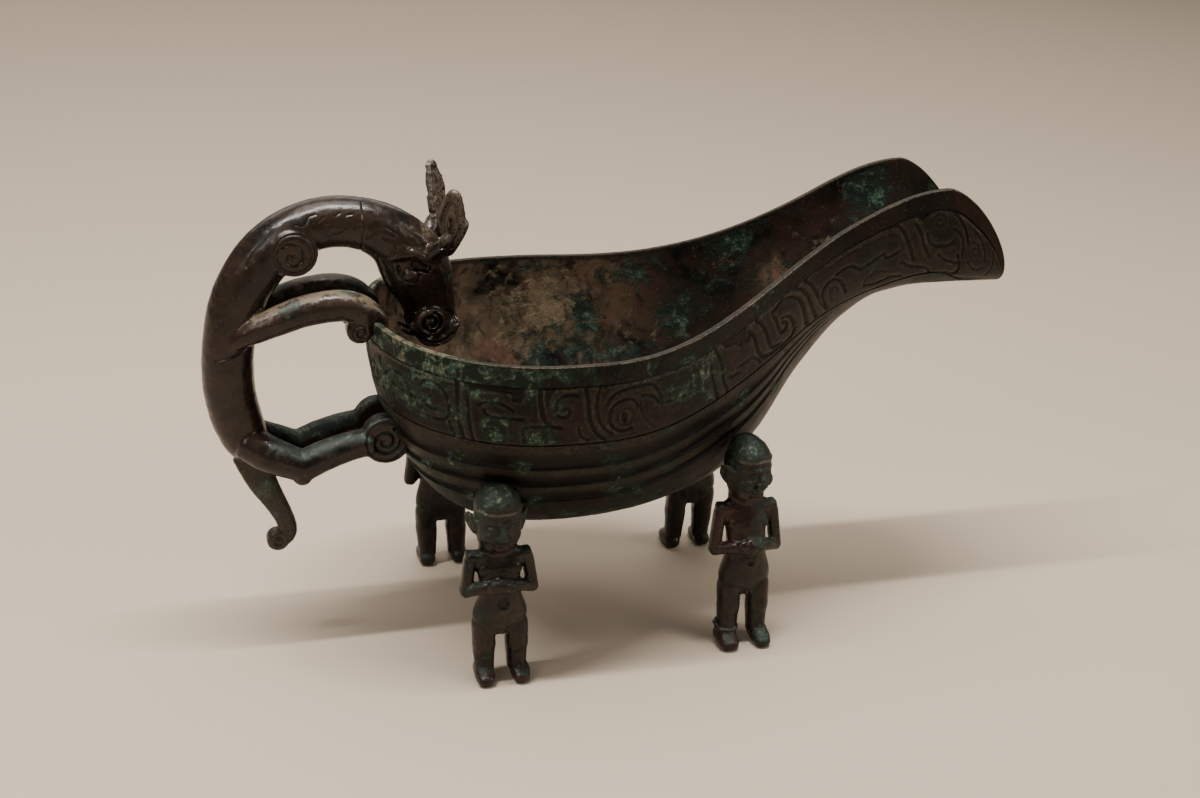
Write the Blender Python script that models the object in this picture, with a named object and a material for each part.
"""Bronze water vessel with a dragon handle and four standing figures as legs.

A cast bowl runs out into a long open spout at +X. Six separate castings make
the vessel: the hollow bowl, the dragon whose paws hold it at the back, and the
four small figures that carry it on their heads.

Metres, +Z up. The origin lies on the ground, under the middle of the length.
"""
import math

import bmesh
import bpy
import numpy as np
from mathutils import Vector

# Bowl and spout
BOWL_BACK_X = -0.1125
BOWL_WIDEST_X = -0.035
BOWL_HALF_WIDTH = 0.0735
BOWL_BACK_ROUNDNESS = 2.15
BOWL_BOTTOM_Z = 0.0555
KEEL_BACK_X = -0.046
RIM_Z = 0.158
RIM_BACK_RISE = 0.003
RIM_CLIMB_START_X = -0.025
SPOUT_HALF_WIDTH = 0.028
SPOUT_NECK_X = 0.110
SPOUT_PEAK_X = 0.1535
SPOUT_PEAK_Z = 0.2148
LIP_REACH = 0.0417
LIP_X = SPOUT_PEAK_X + LIP_REACH
LIP_Z = 0.1605
WALL = 0.003

# Bands and flutes, as depths below the rim
RIM_STRIP = 0.0092
BAND_BOTTOM = 0.0395
BAND_SINK = 0.0009
BAND_STEP = 0.0008
FLUTE_RIDGES = (0.057, 0.068, 0.081, 0.095)
FLUTE_HOLLOW_SHARE = 0.10
DIVIDER_PLACES = (0.068, 0.190, 0.315)
SCROLL_WIDTH = 0.0036
SCROLL_ROOT = 0.0016
SCROLL_PROUD = 0.0001
DIVIDER_WIDTH = 0.0022
DIVIDER_GAP = 0.0048
DIVIDER_LEAN = 0.0050

# Bowl mesh
STATIONS = 26
STATION_CROWDING = 0.030
LEVELS_INSIDE = 6
PLAIN_LEVELS = 18

# Dragon handle, hung from the back of the rim
HANDLE_REACH = 0.0720
HANDLE_RISE = 0.0555
HANDLE_DROP = 0.0680
BODY_RADIUS = 0.0115
BODY_SIDES = 11
LEG_SPREAD = 0.0110
FORELEG_RADIUS = 0.0068
HINDLEG_RADIUS = 0.0070
PAW_RADIUS = 0.0114
PAW_THICKNESS = 0.0100
PAW_Z = 0.1028
PAW_STANDOFF = 0.0040
SHOULDER_RADIUS = 0.0104
SHOULDER_HALF_WIDTH = 0.0128
SPIRAL_WIDTH = 0.0019
SPIRAL_PROUD = 0.0009
EAR_LENGTH = 0.0360
EAR_WIDTH = 0.0160
EAR_THICKNESS = 0.0032
EAR_STEM = 0.0036
EYE_RADIUS = 0.0042
EYE_HALF_SPAN = 0.0138
NOSTRIL_RADIUS = 0.0054
NOSTRIL_HALF_SPAN = 0.0122
TAIL_THICKNESS = 0.0070
TAIL_KNOB_RADIUS = 0.0052
DISC_BEVEL = 0.0015

# Figures, two at the back and two at the front
REAR_NEAR_X = -0.0600
REAR_FAR_X = -0.0645
REAR_Y = 0.0565
REAR_LEAN_X = -0.004
REAR_LEAN_Y = 0.0
REAR_TUCK = 0.0130
FRONT_NEAR_X = 0.0600
FRONT_FAR_X = 0.0655
FRONT_Y = 0.0500
FRONT_LEAN_X = 0.0
FRONT_LEAN_Y = -0.012
FRONT_TUCK = 0.0095
FRONT_HEAD_TURN = 20.0
NAPE_SHARE = 0.35
FIGURE_WIDTH = 0.0345
ARM_RADIUS = 0.0030

CLEARANCE = 0.0003
WELD = 0.0000005
FLAT_ENOUGH = 4.0

PALETTE = {
    "bowl_bronze": ((0.045, 0.034, 0.026), 0.42, 0.85),
    "dragon_bronze": ((0.050, 0.033, 0.025), 0.36, 0.88),
    "figure_bronze": ((0.042, 0.040, 0.031), 0.46, 0.80),
}


def smooth_step(value):
    """Ease from 0 to 1."""
    held = np.clip(value, 0.0, 1.0)
    return held * held * (3.0 - 2.0 * held)


def flowing_curve(knots_x, knots_y, x):
    """Interpolate monotone pieces of cubic through a few knots."""
    kx = np.asarray(knots_x, float)
    ky = np.asarray(knots_y, float)
    step = np.diff(kx)
    slope = np.diff(ky) / step
    tangent = np.zeros(len(kx))
    tangent[0] = slope[0]
    tangent[-1] = slope[-1]
    for i in range(1, len(kx) - 1):
        if slope[i - 1] * slope[i] > 0.0:
            tangent[i] = 2.0 * slope[i - 1] * slope[i] / (slope[i - 1] + slope[i])
    x = np.clip(x, kx[0], kx[-1])
    k = np.clip(np.searchsorted(kx, x, side="right") - 1, 0, len(kx) - 2)
    t = (x - kx[k]) / step[k]
    return (
        ky[k] * (1 + 2 * t) * (1 - t) ** 2
        + ky[k + 1] * t * t * (3 - 2 * t)
        + tangent[k] * step[k] * t * (1 - t) ** 2
        - tangent[k + 1] * step[k] * t * t * (1 - t)
    )


def arc_lengths(points):
    """Running length along a polyline."""
    steps = np.linalg.norm(np.diff(points, axis=0), axis=1)
    return np.concatenate([[0.0], np.cumsum(steps)])


def along(points, lengths, wanted):
    """Points at the wanted lengths along a polyline."""
    return np.stack([np.interp(wanted, lengths, points[:, k]) for k in range(3)], axis=-1)


def rim_curve(samples=240):
    """Half the rim, from the back centre to the lip, as x, half width, height."""
    turn = np.linspace(0.0, math.pi / 2, samples // 4)
    power = 2.0 / BOWL_BACK_ROUNDNESS
    back = np.stack([
        BOWL_WIDEST_X + (BOWL_BACK_X - BOWL_WIDEST_X) * np.cos(turn) ** power,
        BOWL_HALF_WIDTH * np.sin(turn) ** power,
        RIM_Z + RIM_BACK_RISE * np.cos(turn) ** 2,
    ], axis=1)
    x = np.linspace(BOWL_WIDEST_X, SPOUT_PEAK_X, samples // 2)[1:]
    neck = (x - RIM_CLIMB_START_X) / (SPOUT_NECK_X - RIM_CLIMB_START_X)
    climb = np.clip((x - RIM_CLIMB_START_X) / (SPOUT_PEAK_X - RIM_CLIMB_START_X), 0.0, 1.0)
    side = np.stack([
        x,
        BOWL_HALF_WIDTH + (SPOUT_HALF_WIDTH - BOWL_HALF_WIDTH) * smooth_step(neck),
        RIM_Z + (SPOUT_PEAK_Z - RIM_Z) * smooth_step(climb ** 1.4),
    ], axis=1)
    turn = np.linspace(0.0, math.pi / 2, samples // 4)[1:]
    height = np.cos(turn) ** 1.54
    front = np.stack([
        SPOUT_PEAK_X + (LIP_X - SPOUT_PEAK_X) * (1.0 - height ** 1.3) ** 0.625,
        SPOUT_HALF_WIDTH * np.sqrt(1.0 - (1.0 - height) ** 3),
        LIP_Z + (SPOUT_PEAK_Z - LIP_Z) * height,
    ], axis=1)
    return np.concatenate([back, side, front])


def keel_point(rim_x):
    """Where the hull line from a rim place meets the middle of the underside."""
    rim_share = (rim_x - BOWL_BACK_X) / (LIP_X - BOWL_BACK_X)
    keel_share = flowing_curve(
        (0.0, 0.138, 0.250, 0.364, 0.557, 0.641, 0.751, 0.850, 0.931, 1.0),
        (0.0, 0.045, 0.099, 0.239, 0.444, 0.654, 0.770, 0.862, 0.932, 1.0),
        rim_share,
    )
    height_share = flowing_curve(
        (0.0, 0.107, 0.230, 0.354, 0.436, 0.519, 0.601, 0.683, 0.765, 0.848, 1.0),
        (0.010, -0.006, 0.008, 0.062, 0.150, 0.338, 0.630, 0.855, 0.968, 0.998, 1.0),
        keel_share,
    )
    x = KEEL_BACK_X + (LIP_X - KEEL_BACK_X) * keel_share
    return x, BOWL_BOTTOM_Z + (LIP_Z - BOWL_BOTTOM_Z) * height_share


def hull_surface(rim, turn):
    """Outer points below each rim place, at turns from level side to flat keel.

    Past the spout's peak the rim cuts down across one trough, so a line there
    starts part of the way round its section.
    """
    keel_x, keel_z = keel_point(rim[:, 0])
    cut = rim[:, 0] > SPOUT_PEAK_X
    half_width = np.where(cut, SPOUT_HALF_WIDTH, rim[:, 1])
    first = first_turn(rim)
    drop = 1.0 - np.sin(first)
    drop[-1] = 1.0
    height = (rim[:, 2] - keel_z) / drop
    height[-1] = height[-2]
    lean = (rim[:, 0] - keel_x) / np.maximum(np.cos(first), 0.15)
    return np.stack([
        keel_x[:, None] + lean[:, None] * np.cos(turn),
        -half_width[:, None] * np.cos(turn),
        keel_z[:, None] + height[:, None] * (1.0 - np.sin(turn)),
    ], axis=2)


def first_turn(rim):
    """Turn round the section at which each rim place lies."""
    cut = rim[:, 0] > SPOUT_PEAK_X
    return np.where(cut, np.arccos(np.clip(rim[:, 1] / SPOUT_HALF_WIDTH, 0.0, 1.0)), 0.0)


def hull_lines(count, fineness=60):
    """Outer lines from rim to keel, evenly spaced along half the rim, and their normals."""
    rim = rim_curve()
    lengths = arc_lengths(rim)
    rim = along(rim, lengths, np.linspace(0.0, lengths[-1], count))
    first = first_turn(rim)[:, None]
    turn = first + (math.pi / 2 - first) * np.linspace(0.0, 1.0, fineness)
    lines = hull_surface(rim, turn)
    step = 0.0005
    down = hull_surface(rim, turn + step) - hull_surface(rim, turn - step)
    before = hull_surface(rim, np.vstack([turn[1:], turn[-1:]]))
    after = hull_surface(rim, np.vstack([turn[:1], turn[:-1]]))
    ahead = np.zeros_like(lines)
    ahead[1:-1] = after[2:] - before[:-2]
    ahead[0] = np.array([0.0, -1.0, 0.0])
    ahead[-1] = np.array([1.0, 0.0, 0.0])
    normals = np.cross(down, ahead)
    to_lip = (rim[:, 0] - SPOUT_PEAK_X) / (LIP_X - SPOUT_PEAK_X)
    normals[:, :, 0] *= 1.0 - smooth_step(to_lip / 0.7)[:, None]
    normals[:, -1, 1] = 0.0
    normals[-1] = np.array([0.0, 0.0, -1.0])
    return lines, normals / np.linalg.norm(normals, axis=2, keepdims=True)


class Hull:
    """The bowl's nominal outer surface, read by distance along and below the rim."""

    def __init__(self, count=207):
        self.lines, self.normals = hull_lines(count)
        rim = self.lines[:, 0]
        self.rim_lengths = arc_lengths(rim)
        steps = np.linalg.norm(np.diff(self.lines, axis=1), axis=2)
        self.depths = np.concatenate([np.zeros((count, 1)), np.cumsum(steps, axis=1)], axis=1)
        self.full_depth = self.depths[:, -1]

    def at(self, distance, depth):
        """Outer point and normal at a distance along the rim and a depth below it.

        A negative distance, or one past the lip, lies on the far side.
        """
        total = self.rim_lengths[-1]
        far = distance < 0.0
        place = min(abs(distance), total)
        where = np.interp(place, self.rim_lengths, np.arange(len(self.rim_lengths)))
        low = min(int(where), len(self.rim_lengths) - 2)
        blend = where - low
        point = np.zeros(3)
        normal = np.zeros(3)
        for line, weight in ((low, 1.0 - blend), (low + 1, blend)):
            limit = min(depth, self.full_depth[line])
            for k in range(3):
                point[k] += weight * np.interp(limit, self.depths[line], self.lines[line, :, k])
                normal[k] += weight * np.interp(limit, self.depths[line], self.normals[line, :, k])
        if far:
            point[1] = -point[1]
            normal[1] = -normal[1]
        return point, normal / np.linalg.norm(normal)

    def depth_at(self, distance):
        """Length of the hull line from rim to keel at a distance along the rim."""
        return float(np.interp(abs(distance), self.rim_lengths, self.full_depth))

    def under_at(self, x, y):
        """Height of the outer surface above a place on the ground plan."""
        gap = (self.lines[:, :, 0] - x) ** 2 + (self.lines[:, :, 1] + abs(y)) ** 2
        return float(self.lines[:, :, 2].flat[int(np.argmin(gap))])

    def back_at(self, z):
        """Length at which the back wall stands at a height."""
        back = self.lines[0]
        return float(np.interp(z, back[::-1, 2], back[::-1, 0]))


HULL = Hull()


def band_scale(full_depth):
    """How far the bands close up where the side is low, near the lip."""
    return min(1.0, full_depth / (BAND_BOTTOM + 0.020))


def outer_levels(full_depth, plain):
    """Depths below the rim and how far each lies inside the nominal surface."""
    if plain:
        return [(full_depth * level / PLAIN_LEVELS, 0.0) for level in range(PLAIN_LEVELS + 1)]
    scale = band_scale(full_depth)
    bottom = BAND_BOTTOM * scale
    levels = [
        (0.0, 0.0),
        (RIM_STRIP * scale, 0.0),
        ((RIM_STRIP + BAND_STEP) * scale, BAND_SINK * scale * scale),
        (bottom - BAND_STEP * scale, BAND_SINK * scale * scale),
        (bottom, 0.0),
    ]
    widest = HULL.full_depth.max()
    upper = bottom
    for ridge in FLUTE_RIDGES:
        share = (ridge - BAND_BOTTOM) / (widest - BAND_BOTTOM)
        lower = bottom + (full_depth - bottom) * share
        levels.append((0.5 * (upper + lower), FLUTE_HOLLOW_SHARE * (lower - upper)))
        levels.append((lower, 0.0))
        upper = lower
    levels.append((upper + 0.4 * (full_depth - upper), 0.0))
    levels.append((full_depth, 0.0))
    return levels


def station_distances():
    """Distances along half the rim, closer together where the rim bends."""
    rim = HULL.lines[:, 0]
    heading = np.gradient(rim, axis=0)
    heading /= np.linalg.norm(heading, axis=1, keepdims=True)
    bend = np.linalg.norm(np.diff(heading, axis=0), axis=1)
    effort = np.diff(HULL.rim_lengths) + STATION_CROWDING * bend
    effort = np.concatenate([[0.0], np.cumsum(effort)])
    return np.interp(np.linspace(0.0, effort[-1], STATIONS), effort, HULL.rim_lengths)


def shell_mesh(name, grown=0.0, plain=False):
    """Closed shell of the bowl, grown out of the true wall all round if asked."""
    bm = bmesh.new()
    distances = station_distances()
    last = STATIONS - 1

    def line_points(station):
        """Outside points from rim to keel, and inside points from rim to keel."""
        distance = distances[station]
        full = HULL.depth_at(distance)
        outer = []
        for depth, sunk in outer_levels(full, plain):
            point, normal = HULL.at(distance, depth)
            outer.append(point + normal * (grown - sunk))
        inner = []
        for level in range(LEVELS_INSIDE + 1):
            point, normal = HULL.at(distance, full * level / LEVELS_INSIDE)
            inner.append(point - normal * (WALL + grown))
        outer[0][2] += grown
        inner[0][2] += grown
        for line in (outer, inner):
            line[-1][1] = 0.0
            if station == 0:
                for point in line:
                    point[1] = 0.0
        if station == last:
            outer = [outer[-1]] * len(outer)
            inner = [inner[-1]] * len(inner)
        return outer, inner

    def columns(side, shared):
        """Vertices of every hull line on one side, reusing those of the middle."""
        made = []
        for station in range(STATIONS):
            pair = []
            for surface, line in enumerate(line_points(station)):
                row = []
                for place, point in enumerate(line):
                    middle = station in (0, last) or place == len(line) - 1
                    if middle and shared is not None:
                        row.append(shared[station][surface][place])
                    elif station == last and row:
                        row.append(row[0])
                    else:
                        row.append(bm.verts.new((point[0], -side * point[1], point[2])))
                pair.append(row)
            made.append(pair)
        return made

    def patch(corners, side):
        """Face through the distinct corners, wound to look outward."""
        kept = list(dict.fromkeys(corners))
        if len(kept) > 2:
            bm.faces.new(kept if side < 0 else kept[::-1])

    near = columns(-1, None)
    far = columns(1, near)
    for side, lines in ((-1, near), (1, far)):
        for here, there in zip(lines, lines[1:]):
            for surface, facing in ((0, side), (1, -side)):
                for k in range(len(here[surface]) - 1):
                    patch((here[surface][k], here[surface][k + 1],
                           there[surface][k + 1], there[surface][k]), facing)
            patch((here[0][0], there[0][0], there[1][0], here[1][0]), side)
    bmesh.ops.recalc_face_normals(bm, faces=bm.faces[:])
    bmesh.ops.triangulate(bm, faces=bm.faces[:])
    mesh = bpy.data.meshes.new(name)
    bm.to_mesh(mesh)
    bm.free()
    return mesh


def ribbon_mesh(name, centre_line, width):
    """Flat raised strip on the bowl along a line of rim distances and depths."""
    line = np.asarray(centre_line, float)
    heading = np.gradient(line, axis=0)
    heading /= np.linalg.norm(heading, axis=1, keepdims=True)
    across = np.stack([-heading[:, 1], heading[:, 0]], axis=1) * width / 2
    bm = bmesh.new()
    rings = []
    for place, offset in zip(line, across):
        ring = []
        for side, lift in ((1, SCROLL_PROUD), (-1, SCROLL_PROUD), (-1, -SCROLL_ROOT), (1, -SCROLL_ROOT)):
            distance, depth = place + side * offset
            point, normal = HULL.at(distance, depth)
            ring.append(bm.verts.new(point + normal * lift))
        rings.append(ring)
    skin(bm, rings)
    mesh = bpy.data.meshes.new(name)
    bm.to_mesh(mesh)
    bm.free()
    return mesh


def skin(bm, rings):
    """Close a row of rings into a solid with flat ends."""
    sides = len(rings[0])
    for ring, following in zip(rings, rings[1:]):
        for k in range(sides):
            after = (k + 1) % sides
            bm.faces.new((ring[k], ring[after], following[after], following[k]))
    bm.faces.new(rings[0][::-1])
    bm.faces.new(rings[-1])
    bmesh.ops.recalc_face_normals(bm, faces=bm.faces[:])
    if bm.calc_volume(signed=True) < 0.0:
        bmesh.ops.reverse_faces(bm, faces=bm.faces[:])
    bmesh.ops.triangulate(bm, faces=bm.faces[:])


def coil(centre, radius, turns, start, points=9, eye=0.3):
    """Spiral of band places winding in to an eye; negative turns wind the other way."""
    share = np.linspace(0.0, 1.0, points)
    angle = math.radians(start) + 2.0 * math.pi * turns * share
    reach = radius * (1.0 - (1.0 - eye) * share)
    return np.stack([centre[0] + reach * np.cos(angle), centre[1] + reach * np.sin(angle)], axis=1)


def scroll_lines():
    """Centre lines of the scroll dragons on one side, as rim distance and depth."""
    top = RIM_STRIP + BAND_STEP + SCROLL_WIDTH * 0.75
    foot = BAND_BOTTOM - BAND_STEP - SCROLL_WIDTH * 0.75
    middle = 0.5 * (top + foot)
    tall = foot - top
    first, second, third = DIVIDER_PLACES
    lines = []
    eye = coil((0.19 * first, middle), 0.30 * tall, -0.8, 0.0, eye=0.6)
    lines.append(np.vstack([eye[::-1], [[0.38 * first, foot], [0.50 * first, foot]]]))
    lines.append([(share * first, middle + 0.5 * tall * level) for share, level in (
        (0.41, -1.0), (0.71, -1.0), (0.88, -0.8), (0.93, 0.0), (0.87, 0.8), (0.71, 1.0),
        (0.62, 0.2))])
    for start, stop, flip in ((first, second, 1.0), (second, third, -1.0)):
        length = stop - start

        def place(share, level):
            """Point of a panel, mirrored where the panel faces the other way."""
            along_panel = share if flip > 0 else 1.0 - share
            return (start + length * along_panel, middle + 0.5 * tall * level)

        lines.append([place(*p) for p in (
            (0.25, -0.95), (0.10, -1.0), (0.06, -0.4), (0.07, 0.6),
            (0.15, 0.95), (0.21, 0.5), (0.14, 0.05))])
        lines.append([place(*p) for p in (
            (0.44, -1.0), (0.34, -1.0), (0.31, -0.1), (0.37, 0.75),
            (0.45, 0.3), (0.41, -0.3))])
        lines.append([place(*p) for p in (
            (0.92, 0.1), (0.78, 0.1), (0.72, -0.7), (0.61, -0.95),
            (0.53, -0.3), (0.54, 0.5), (0.61, 0.95), (0.68, 0.3), (0.61, -0.2))])
        lines.append([place(*p) for p in (
            (0.76, -1.0), (0.91, -1.0), (0.955, -0.5), (0.90, 1.0), (0.76, 1.0))])
    length = HULL.rim_lengths[-1] - third
    lines.append([(third + share * length, middle + 0.5 * tall * level) for share, level in (
        (0.09, 1.0), (0.075, 0.0), (0.135, -1.0), (0.26, -1.0), (0.30, 0.0), (0.22, 0.4))])
    return [np.asarray(line, float) for line in lines]


def divider_lines():
    """Pairs of upright bars between the panels of one side."""
    top = RIM_STRIP + BAND_STEP
    foot = BAND_BOTTOM - BAND_STEP
    bars = []
    for place in DIVIDER_PLACES:
        for step in (-0.5, 0.5):
            start = place + step * DIVIDER_GAP
            bars.append(np.array([(start, top), (start + DIVIDER_LEAN, foot)]))
    return bars


def superellipse(sides, squareness=2.0):
    """Points round a unit superellipse."""
    points = []
    for k in range(sides):
        angle = 2.0 * math.pi * (k + 0.5) / sides
        c = math.cos(angle)
        n = math.sin(angle)
        points.append((math.copysign(abs(c) ** (2.0 / squareness), c),
                       math.copysign(abs(n) ** (2.0 / squareness), n)))
    return points


def tube_mesh(name, path, widths, heights, sides, side=(0.0, 1.0, 0.0), squareness=2.0):
    """Solid swept along a path, with its own width and height at every point."""
    path = np.asarray(path, float)
    tangent = np.gradient(path, axis=0)
    tangent /= np.linalg.norm(tangent, axis=1, keepdims=True)
    side = np.asarray(side, float)
    bm = bmesh.new()
    rings = []
    outline = superellipse(sides, squareness)
    for centre, heading, width, height in zip(path, tangent, widths, heights):
        level = side - heading * float(side @ heading)
        level /= np.linalg.norm(level)
        up = np.cross(heading, level)
        rings.append([bm.verts.new(centre + level * (a * width) + up * (b * height))
                      for a, b in outline])
    skin(bm, rings)
    mesh = bpy.data.meshes.new(name)
    bm.to_mesh(mesh)
    bm.free()
    return mesh


def stacked_mesh(name, centres, widths, depths, sides, squareness=2.0):
    """Solid of level rings stacked upward, each with its own centre and size."""
    bm = bmesh.new()
    outline = superellipse(sides, squareness)
    rings = []
    for centre, width, depth in zip(centres, widths, depths):
        rings.append([bm.verts.new((centre[0] + a * width, centre[1] + b * depth, centre[2]))
                      for a, b in outline])
    skin(bm, rings)
    mesh = bpy.data.meshes.new(name)
    bm.to_mesh(mesh)
    bm.free()
    return mesh


def disc_mesh(name, centre, radius, near_y, far_y, sides, bevel):
    """Round plate standing across Y, with chamfered edges."""
    path = [(centre[0], y, centre[1]) for y in (near_y, near_y + bevel, far_y - bevel, far_y)]
    sizes = (radius - bevel, radius, radius, radius - bevel)
    return tube_mesh(name, path, sizes, sizes, sides, side=(1.0, 0.0, 0.0))


def spiral_mesh(name, centre, radius, face_y, outward, turns, start, steps=10):
    """Raised spiral on a face that looks along Y."""
    share = np.linspace(0.0, 1.0, steps)
    angle = math.radians(start) + 2.0 * math.pi * turns * share
    reach = radius * (1.0 - 0.78 * share)
    bm = bmesh.new()
    rings = []
    half = SPIRAL_WIDTH / 2
    for a, r in zip(angle, reach):
        ring = []
        for grow, lift in ((half, SPIRAL_PROUD), (-half, SPIRAL_PROUD),
                           (-half, -SPIRAL_PROUD), (half, -SPIRAL_PROUD)):
            ring.append(bm.verts.new((centre[0] + (r + grow) * math.cos(a),
                                      face_y + outward * lift,
                                      centre[1] + (r + grow) * math.sin(a))))
        rings.append(ring)
    skin(bm, rings)
    mesh = bpy.data.meshes.new(name)
    bm.to_mesh(mesh)
    bm.free()
    return mesh


def plate_mesh(name, outline, centre, long_axis, wide_axis, thickness):
    """Flat plate of a given outline, set by the directions of its length and width."""
    long_axis = Vector(long_axis).normalized()
    wide_axis = Vector(wide_axis)
    wide_axis = (wide_axis - long_axis * wide_axis.dot(long_axis)).normalized()
    normal = long_axis.cross(wide_axis)
    bm = bmesh.new()
    rings = []
    for lift in (-0.5, 0.5):
        rings.append([bm.verts.new(Vector(centre) + long_axis * v + wide_axis * u
                                   + normal * (lift * thickness)) for u, v in outline])
    skin(bm, rings)
    mesh = bpy.data.meshes.new(name)
    bm.to_mesh(mesh)
    bm.free()
    return mesh


def handle_place(reach, rise):
    """Point of the mid-plane from shares of the handle's reach and rise or drop."""
    height = HANDLE_RISE if rise > 0.0 else HANDLE_DROP
    return np.array([BOWL_BACK_X - HANDLE_REACH * reach, 0.0, RIM_Z + height * rise])


BODY_PATH_SHARES = (
    (0.700, -0.905), (0.745, -0.830), (0.800, -0.665), (0.833, -0.470), (0.840, -0.290),
    (0.828, -0.120), (0.792, 0.090), (0.727, 0.300), (0.632, 0.490), (0.514, 0.645),
    (0.375, 0.750), (0.229, 0.796), (0.076, 0.790), (-0.062, 0.735), (-0.180, 0.640),
    (-0.270, 0.500), (-0.335, 0.330), (-0.380, 0.150), (-0.412, -0.020), (-0.440, -0.170),
)
BODY_SWELL_SHARES = (
    (0.55, 0.60), (0.87, 0.90), (0.98, 0.98), (1.00, 1.00), (1.00, 1.00),
    (1.00, 1.00), (1.02, 1.03), (1.05, 1.06), (1.06, 1.07), (1.04, 1.04),
    (1.00, 1.00), (0.98, 0.99), (0.98, 1.02), (1.02, 1.08), (1.08, 1.18),
    (1.14, 1.38), (1.10, 1.42), (0.96, 1.20), (0.90, 1.05), (0.72, 0.78),
)
TAIL_PATH_SHARES = ((0.720, -0.930), (0.668, -1.105), (0.600, -1.250), (0.540, -1.375),
             (0.508, -1.480), (0.520, -1.560), (0.560, -1.585))
TAIL_DEPTHS = (0.0088, 0.0070, 0.0056, 0.0046, 0.0042, 0.0038, 0.0030)
TAIL_KNOB_SHARES = (0.570, -1.575)
FORELEG_PATH_SHARES = ((0.840, -0.100), (0.715, -0.020), (0.555, 0.070), (0.385, 0.145),
                (0.215, 0.172), (0.090, 0.150), (-0.005, 0.085), (-0.055, 0.045))
FORELEG_SWELL_SHARES = (0.35, 0.80, 0.98, 1.03, 1.06, 1.02, 0.92, 0.55)
CLAW_SHARES = (0.060, -0.020)
CLAW_RADIUS = 0.0056
HINDLEG_PATH_SHARES = ((0.710, -0.830), (0.600, -0.880), (0.490, -0.950), (0.412, -0.990),
                (0.330, -0.935), (0.175, -0.872), (0.045, -0.830))
HINDLEG_SWELL_SHARES = (1.20, 1.08, 1.02, 1.02, 1.00, 0.96, 0.95)
SHOULDER_SHARES = (0.440, 0.611)
EAR_CENTRE_SHARES = (-0.486, 0.847)
EAR_SPREAD = 0.0185
EAR_ROOT_SHARES = ((-0.400, 0.610), (-0.480, 0.790))
EAR_OUTLINE_SHARES = ((0.0, -0.50), (0.30, -0.24), (0.50, 0.05), (0.34, 0.20), (0.20, 0.38),
               (0.0, 0.50), (-0.24, 0.36), (-0.44, 0.05), (-0.30, -0.22))
EYE_SHARES = (-0.325, 0.470)
NOSTRIL_SHARES = (-0.380, 0.030)


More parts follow.
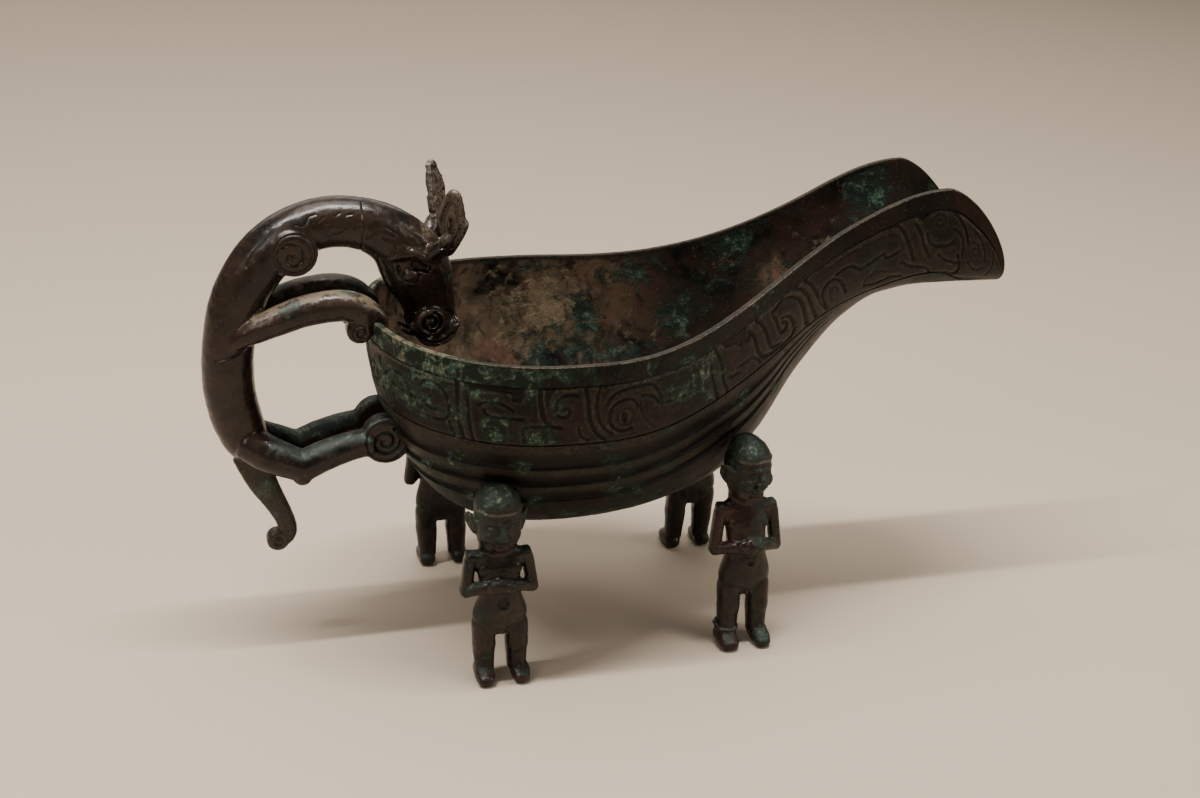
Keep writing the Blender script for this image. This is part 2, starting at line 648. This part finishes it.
def dragon_parts():
    """Solids that the dragon handle is joined from."""
    parts = []
    path = [handle_place(*place) for place in BODY_PATH_SHARES]
    widths = [BODY_RADIUS * w for w, h in BODY_SWELL_SHARES]
    heights = [BODY_RADIUS * h for w, h in BODY_SWELL_SHARES]
    parts.append(tube_mesh("dragon_body", path, widths, heights, BODY_SIDES))
    tail = [handle_place(*place) for place in TAIL_PATH_SHARES]
    parts.append(tube_mesh("dragon_tail", tail, [TAIL_THICKNESS / 2] * len(tail),
                           TAIL_DEPTHS, 6, squareness=BAR_SQUARENESS))
    knob = handle_place(*TAIL_KNOB_SHARES)
    parts.append(disc_mesh("dragon_tail_knob", (knob[0], knob[2]), TAIL_KNOB_RADIUS,
                           -0.55 * TAIL_THICKNESS, 0.55 * TAIL_THICKNESS, 10, DISC_BEVEL))
    shoulder = handle_place(*SHOULDER_SHARES)
    parts.append(disc_mesh("dragon_shoulder", (shoulder[0], shoulder[2]), SHOULDER_RADIUS,
                           -SHOULDER_HALF_WIDTH, SHOULDER_HALF_WIDTH, 16, DISC_BEVEL))
    paw_x = HULL.back_at(PAW_Z) - PAW_STANDOFF
    for side in (-1.0, 1.0):
        spread = np.array([0.0, side * LEG_SPREAD, 0.0])
        foreleg = [handle_place(*place) + spread for place in FORELEG_PATH_SHARES]
        sizes = [FORELEG_RADIUS * swell for swell in FORELEG_SWELL_SHARES]
        parts.append(tube_mesh("dragon_foreleg", foreleg, sizes, sizes, 8))
        claw = handle_place(*CLAW_SHARES)
        parts.append(disc_mesh("dragon_claw", (claw[0], claw[2]), CLAW_RADIUS,
                               side * LEG_SPREAD - 0.8 * FORELEG_RADIUS,
                               side * LEG_SPREAD + 0.8 * FORELEG_RADIUS, 10, DISC_BEVEL))
        hindleg = [handle_place(*place) + spread for place in HINDLEG_PATH_SHARES]
        sizes = [HINDLEG_RADIUS * swell for swell in HINDLEG_SWELL_SHARES]
        parts.append(tube_mesh("dragon_hindleg", hindleg, sizes, sizes, 8))
        inner_y = side * (LEG_SPREAD + 0.6 * HINDLEG_RADIUS - PAW_THICKNESS)
        outer_y = side * (LEG_SPREAD + 0.6 * HINDLEG_RADIUS)
        parts.append(disc_mesh("dragon_paw", (paw_x, PAW_Z), PAW_RADIUS,
                               min(inner_y, outer_y), max(inner_y, outer_y), 16, DISC_BEVEL))
        parts.append(spiral_mesh("dragon_paw_spiral", (paw_x, PAW_Z), 0.68 * PAW_RADIUS,
                                 outer_y, side, 1.4, 150.0))
        parts.append(spiral_mesh("dragon_shoulder_spiral", (shoulder[0], shoulder[2]),
                                 0.70 * SHOULDER_RADIUS, side * SHOULDER_HALF_WIDTH,
                                 side, 1.4, 200.0))
        outline = [(u * EAR_WIDTH, v * EAR_LENGTH) for u, v in EAR_OUTLINE_SHARES]
        centre = handle_place(*EAR_CENTRE_SHARES) + np.array([0.0, side * EAR_SPREAD, 0.0])
        parts.append(plate_mesh("dragon_ear", outline, centre, (-0.03, side * 0.33, 0.94),
                                (0.65, side * 0.75, 0.20), EAR_THICKNESS))
        low, high = [handle_place(*place) for place in EAR_ROOT_SHARES]
        stem = [low + np.array([0.0, side * 0.30 * EAR_SPREAD, 0.0]),
                high + np.array([0.0, side * 0.95 * EAR_SPREAD, 0.0])]
        parts.append(tube_mesh("dragon_ear_stem", stem, (EAR_STEM, EAR_STEM),
                               (EAR_STEM, EAR_STEM), 8))
        eye = handle_place(*EYE_SHARES)
        parts.append(disc_mesh("dragon_eye", (eye[0], eye[2]), EYE_RADIUS,
                               min(0.0, side * EYE_HALF_SPAN), max(0.0, side * EYE_HALF_SPAN),
                               8, 0.45 * EYE_RADIUS))
        nostril = handle_place(*NOSTRIL_SHARES)
        parts.append(disc_mesh("dragon_nostril", (nostril[0], nostril[2]), NOSTRIL_RADIUS,
                               min(0.0, side * NOSTRIL_HALF_SPAN),
                               max(0.0, side * NOSTRIL_HALF_SPAN), 12, 0.25 * NOSTRIL_RADIUS))
    return parts


BODY_SQUARENESS = 2.2
FOOT_SQUARENESS = 2.6
BAR_SQUARENESS = 3.0

# Rings of a figure: level, half width, half depth and how far it lies forward
TORSO_RING_SHARES = (
    (0.240, 0.18, 0.13, 0.01), (0.30, 0.34, 0.19, 0.01), (0.36, 0.36, 0.21, 0.02),
    (0.45, 0.27, 0.19, 0.05), (0.60, 0.33, 0.19, 0.01), (0.675, 0.37, 0.15, 0.0),
    (0.695, 0.16, 0.13, 0.0), (0.75, 0.16, 0.13, 0.0),
)
HEAD_RING_SHARES = (
    (0.712, 0.15, 0.14, 0.14), (0.735, 0.25, 0.26, 0.07), (0.775, 0.30, 0.32, 0.02),
    (0.845, 0.32, 0.35, 0.0), (0.858, 0.345, 0.375, 0.0), (0.915, 0.33, 0.36, -0.01),
    (0.972, 0.22, 0.25, -0.02), (1.0, 0.07, 0.08, -0.02),
)
LEG_RING_SHARES = (
    (0.045, 0.130, 0.130, 0.0), (0.12, 0.130, 0.140, 0.0), (0.19, 0.160, 0.165, 0.0),
    (0.32, 0.170, 0.185, 0.02),
)
LEG_GAP_SHARE = 0.245
FOOT_RING_SHARES = ((0.0, 0.130, 0.22, 0.06), (0.035, 0.130, 0.21, 0.05), (0.065, 0.10, 0.15, 0.0))


def figure_parts(foot_x, foot_y, lean, crown, facing, head_turn):
    """Solids that one standing figure is joined from.

    Levels are shares of its height; widths and depths are shares of its width.
    """
    wide = FIGURE_WIDTH

    def place(level, across, ahead, turn=0.0):
        """Point at a level, across and ahead of the body's middle."""
        c = math.cos(turn)
        n = math.sin(turn)
        x = across * c + ahead * n
        y = ahead * c - across * n
        return np.array([foot_x + lean[0] * level + x * wide,
                         foot_y + facing * (lean[1] * level + y * wide), crown * level])

    def stack(name, rings, across, sides, squareness, turn=0.0):
        """Stacked rings of one limb or body mass."""
        centres = [place(level, across, ahead, turn) for level, w, d, ahead in rings]
        return stacked_mesh(name, centres, [w * wide for level, w, d, ahead in rings],
                            [d * wide for level, w, d, ahead in rings], sides, squareness)

    turn = math.radians(head_turn)
    parts = [
        stack("figure_torso", TORSO_RING_SHARES, 0.0, 7, BODY_SQUARENESS),
        stack("figure_head", HEAD_RING_SHARES, 0.0, 8, BODY_SQUARENESS, turn),
    ]
    for side in (-1.0, 1.0):
        parts.append(stack("figure_leg", LEG_RING_SHARES, side * LEG_GAP_SHARE, 6, BODY_SQUARENESS))
        parts.append(stack("figure_foot", FOOT_RING_SHARES, side * LEG_GAP_SHARE, 5, FOOT_SQUARENESS))
        shoulder = place(0.670, side * 0.37, 0.0)
        elbow = place(0.485, side * 0.455, 0.02)
        wrist = place(0.510, side * 0.05, 0.27)
        for limb, start, end in (("upper", shoulder, elbow), ("fore", elbow, wrist)):
            reach = (end - start) / np.linalg.norm(end - start) * ARM_RADIUS * 0.6
            path = (start - reach, start, end, end + reach)
            size = [ARM_RADIUS * swell for swell in (0.6, 1.0, 1.0, 0.6)]
            parts.append(tube_mesh("figure_arm_" + limb, path, size, size, 5, side=(0.3, 1.0, 0.4)))
        ear = place(0.795, side * 0.335, -0.02, turn)
        parts.append(stacked_mesh("figure_ear",
                                  [ear + np.array([0.0, 0.0, up * crown]) for up in (-0.045, 0.0, 0.04)],
                                  [0.05 * wide, 0.07 * wide, 0.055 * wide],
                                  [0.07 * wide, 0.10 * wide, 0.08 * wide], 4))
    nose = [place(level, 0.0, ahead, turn) for level, ahead in ((0.775, 0.33), (0.79, 0.36), (0.835, 0.30))]
    parts.append(stacked_mesh("figure_nose", nose, [0.07 * wide, 0.065 * wide, 0.03 * wide],
                              [0.06 * wide, 0.065 * wide, 0.05 * wide], 4))
    return parts


def new_material(name):
    """Principled material of one of the bronzes."""
    colour, roughness, metallic = PALETTE[name]
    material = bpy.data.materials.new(name)
    material.use_nodes = True
    shader = material.node_tree.nodes["Principled BSDF"]
    shader.inputs["Base Color"].default_value = (*colour, 1.0)
    shader.inputs["Roughness"].default_value = roughness
    shader.inputs["Metallic"].default_value = metallic
    return material


def solid(name, mesh, parent=None):
    """Object of a mesh in the scene."""
    made = bpy.data.objects.new(name, mesh)
    bpy.context.collection.objects.link(made)
    if parent is not None:
        made.parent = parent
    return made


def joined(name, parts, cutters, material, parent, sharp=38.0, flat_enough=FLAT_ENOUGH):
    """One solid from many: their union, less what the cutters take away."""
    base = solid(name, parts[0])
    others = bpy.data.collections.new(name + "_parts")
    bpy.context.scene.collection.children.link(others)
    helpers = []
    for mesh in parts[1:]:
        helper = bpy.data.objects.new(mesh.name, mesh)
        others.objects.link(helper)
        helpers.append(helper)
    if helpers:
        union = base.modifiers.new("union", "BOOLEAN")
        union.operation = "UNION"
        union.operand_type = "COLLECTION"
        union.collection = others
        union.solver = "EXACT"
    for cutter_mesh in cutters:
        cutter = bpy.data.objects.new(name + "_cutter", cutter_mesh)
        bpy.context.collection.objects.link(cutter)
        helpers.append(cutter)
        cut = base.modifiers.new("cut", "BOOLEAN")
        cut.operation = "DIFFERENCE"
        cut.object = cutter
        cut.solver = "EXACT"
    bpy.context.view_layer.update()
    finished = bpy.data.meshes.new_from_object(
        base.evaluated_get(bpy.context.evaluated_depsgraph_get()))
    for helper in helpers + [base]:
        bpy.data.objects.remove(helper)
    bpy.data.collections.remove(others)
    tidy(finished, sharp, flat_enough)
    finished.materials.clear()
    finished.materials.append(material)
    finished.name = name
    return solid(name, finished, parent)


def tidy(mesh, sharp, flat_enough):
    """Weld hairline seams, join split flats, drop loose slivers and shade round faces smooth."""
    bm = bmesh.new()
    bm.from_mesh(mesh)
    bmesh.ops.remove_doubles(bm, verts=bm.verts[:], dist=WELD)
    bmesh.ops.dissolve_degenerate(bm, dist=WELD, edges=bm.edges[:])
    if flat_enough > 0.0:
        bmesh.ops.dissolve_limit(bm, angle_limit=math.radians(flat_enough), verts=bm.verts[:],
                                 use_dissolve_boundaries=False, edges=bm.edges[:])
    bmesh.ops.triangulate(bm, faces=bm.faces[:])
    pieces = separate_bodies(bm)
    for spare in pieces[1:]:
        bmesh.ops.delete(bm, geom=spare, context="VERTS")
    bm.to_mesh(mesh)
    bm.free()
    mesh.shade_smooth()
    mesh.set_sharp_from_angle(angle=math.radians(sharp))


def separate_bodies(bm):
    """Vertices of each connected body, the largest first."""
    unseen = set(bm.verts)
    bodies = []
    while unseen:
        start = unseen.pop()
        body = [start]
        for vert in body:
            for edge in vert.link_edges:
                other = edge.other_vert(vert)
                if other in unseen:
                    unseen.remove(other)
                    body.append(other)
        bodies.append(body)
    return sorted(bodies, key=len, reverse=True)


def build():
    """Model the vessel, one object for each casting."""
    for old in list(bpy.data.objects):
        bpy.data.objects.remove(old)
    stand = bpy.data.objects.new("vessel_frame", None)
    bpy.context.collection.objects.link(stand)

    bronze = new_material("bowl_bronze")
    parts = [shell_mesh("bowl")]
    for side in (1.0, -1.0):
        for line in scroll_lines():
            parts.append(ribbon_mesh("scroll", line * np.array([side, 1.0]), SCROLL_WIDTH))
        for line in divider_lines():
            parts.append(ribbon_mesh("divider", line * np.array([side, 1.0]), DIVIDER_WIDTH))
    joined("bowl", parts, [], bronze, stand, sharp=17.0, flat_enough=0.0)

    bronze = new_material("dragon_bronze")
    envelope = shell_mesh("envelope", grown=CLEARANCE)
    joined("dragon_handle", dragon_parts(), [envelope], bronze, stand)

    bronze = new_material("figure_bronze")
    rear = (REAR_Y, (REAR_LEAN_X, REAR_LEAN_Y), REAR_TUCK, 0.0)
    front = (FRONT_Y, (FRONT_LEAN_X, FRONT_LEAN_Y), FRONT_TUCK, FRONT_HEAD_TURN)
    figures = (
        ("figure_leg_rear_near", REAR_NEAR_X, -1.0, rear),
        ("figure_leg_rear_far", REAR_FAR_X, 1.0, rear),
        ("figure_leg_front_near", FRONT_NEAR_X, -1.0, front),
        ("figure_leg_front_far", FRONT_FAR_X, 1.0, front),
    )
    for name, x, facing, (y, lean, tuck, turn) in figures:
        crown = HULL.under_at(x + lean[0], y + lean[1] - NAPE_SHARE * FIGURE_WIDTH) + tuck
        envelope = shell_mesh("envelope", grown=CLEARANCE, plain=True)
        parts = figure_parts(x, facing * y, lean, crown, facing, turn)
        joined(name, parts, [envelope], bronze, stand)

    lengths = [vert.co.x for piece in stand.children for vert in piece.data.vertices]
    stand.location.x = -0.5 * (min(lengths) + max(lengths))
    bpy.context.view_layer.update()


build()
